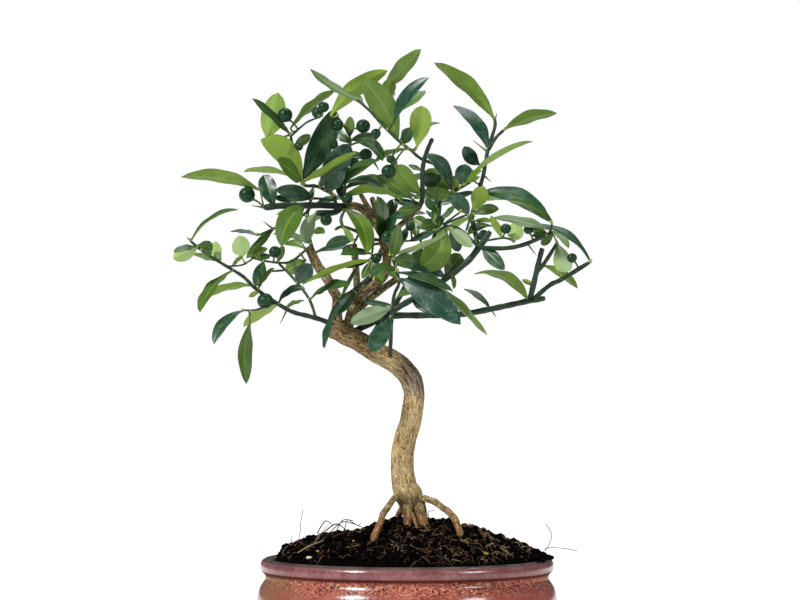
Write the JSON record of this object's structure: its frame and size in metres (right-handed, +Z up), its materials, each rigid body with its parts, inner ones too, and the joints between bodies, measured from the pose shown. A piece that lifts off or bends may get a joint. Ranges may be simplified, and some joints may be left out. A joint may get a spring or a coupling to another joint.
{
  "type": "potted bonsai tree",
  "caption": "Dwarf orange bonsai with a bent trunk, a spreading leafy crown and small green fruits, growing in soil in a round glazed pot.",
  "frame": {"origin": "middle of the pot's flat underside", "axes": "+Z up, the front of the tree faces -Y and +X is to its right"},
  "size_m": [0.2474, 0.194, 0.3818],
  "materials": {
    "glazed_pot": "gloss",
    "screen_plastic": "matte",
    "peat_soil": "matte",
    "bark": "matte",
    "leaf_and_stem": "satin"
  },
  "bodies": {
    "root": {"pot": "glazed_pot", "drain_screen": "screen_plastic", "soil": "peat_soil", "trunk": "bark", "spray_left": "leaf_and_stem", "spray_upper_left": "leaf_and_stem", "spray_top": "leaf_and_stem", "spray_inner": "leaf_and_stem", "spray_low": "leaf_and_stem", "spray_front": "leaf_and_stem", "spray_right": "leaf_and_stem", "spray_long": "leaf_and_stem", "spray_back_left": "leaf_and_stem", "spray_back_middle": "leaf_and_stem", "spray_back_right": "leaf_and_stem"}
  },
  "joints": []
}
